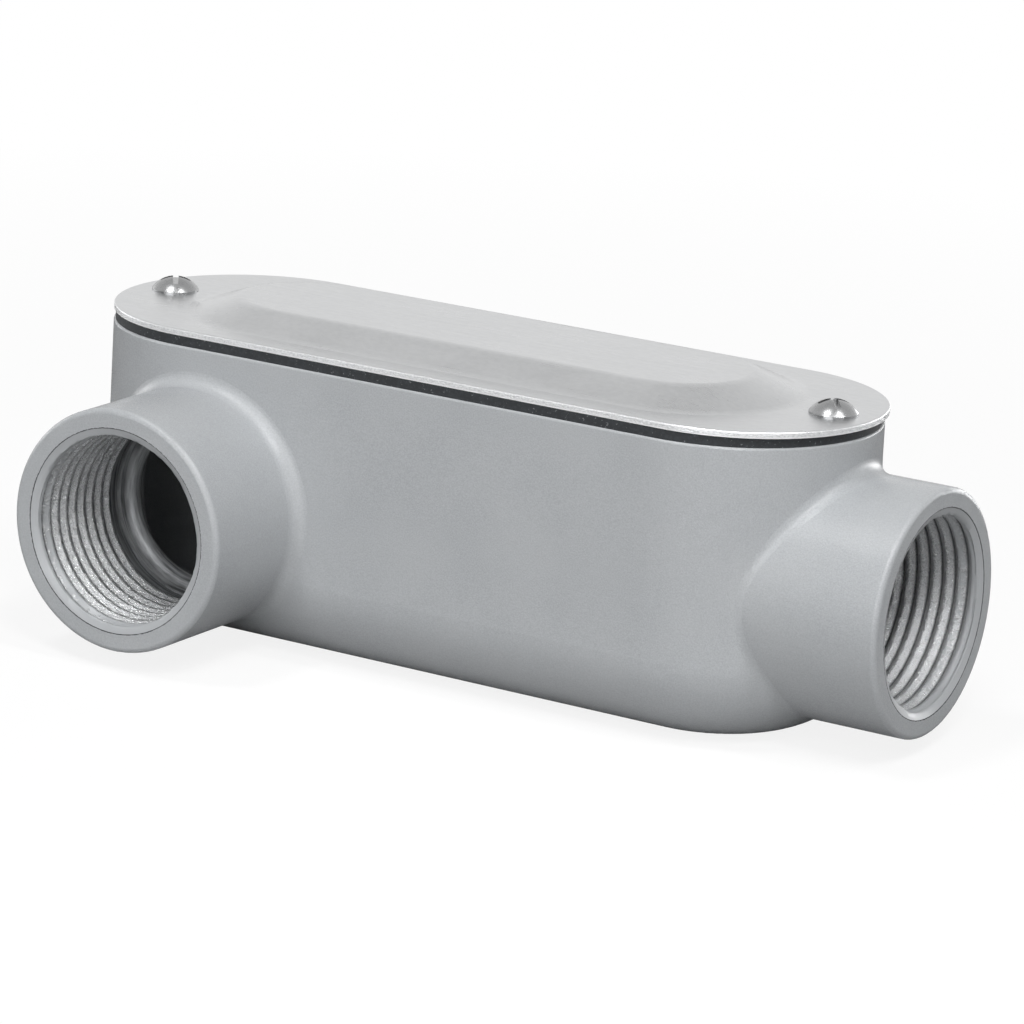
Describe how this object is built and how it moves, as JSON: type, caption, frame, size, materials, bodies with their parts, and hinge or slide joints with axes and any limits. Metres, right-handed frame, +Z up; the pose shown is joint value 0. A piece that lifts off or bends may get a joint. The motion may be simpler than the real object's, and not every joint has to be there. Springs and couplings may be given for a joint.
{
  "type": "conduit body",
  "caption": "Oblong cast conduit body with threaded hubs at one end and at one side, closed by a gasketed, screwed-on cover with a raised crown.",
  "frame": {"origin": "middle of the housing's flat bottom, under the middle of its oblong plan", "axes": "+X along the housing to the end hub, -Y to the side hub, +Z up to the cover"},
  "size_m": [0.1545, 0.0719, 0.0554],
  "materials": {
    "housing": "satin grey baked enamel over cast aluminium",
    "gasket": "matt black neoprene",
    "cover": "mill-finish sheet with a faint brushed grain",
    "screw": "bright zinc plate",
    "thread": "bare machined casting"
  },
  "bodies": {
    "root": {"housing": "housing", "gasket": "gasket", "cover": "cover", "left_screw": "screw", "right_screw": "screw"}
  },
  "joints": []
}
